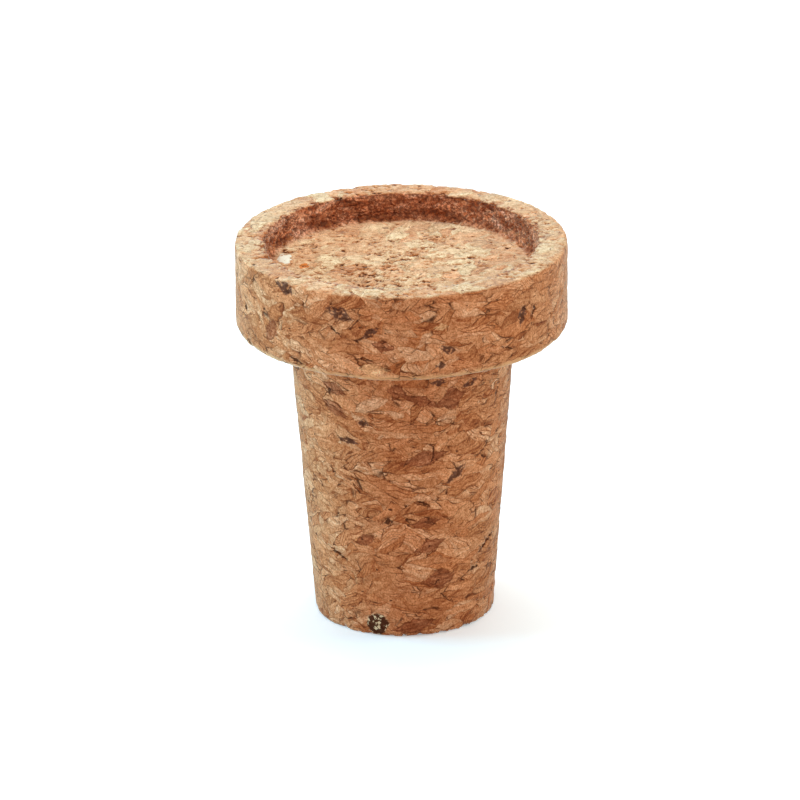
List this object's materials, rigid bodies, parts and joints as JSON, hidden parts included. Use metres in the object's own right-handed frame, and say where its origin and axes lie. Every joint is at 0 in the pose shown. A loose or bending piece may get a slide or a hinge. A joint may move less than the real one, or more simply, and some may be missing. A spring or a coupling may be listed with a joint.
{
  "type": "cork stopper",
  "caption": "Turned stopper of agglomerated cork: a wide round cap with a shallow dish in its top over a tapered plug that wedges in the neck of a bottle or carafe.",
  "frame": {"origin": "centre of the plug's flat end face, on which the stopper stands", "axes": "+Z along the turning axis, from the plug's end up through the cap; X and Y are any two directions across, because the part is turned"},
  "size_m": [0.045, 0.045, 0.0532],
  "materials": {
    "cork": "agglomerated cork, turned and sanded, matt, with visible granules"
  },
  "bodies": {
    "root": {"cork_stopper": "cork"}
  },
  "joints": []
}
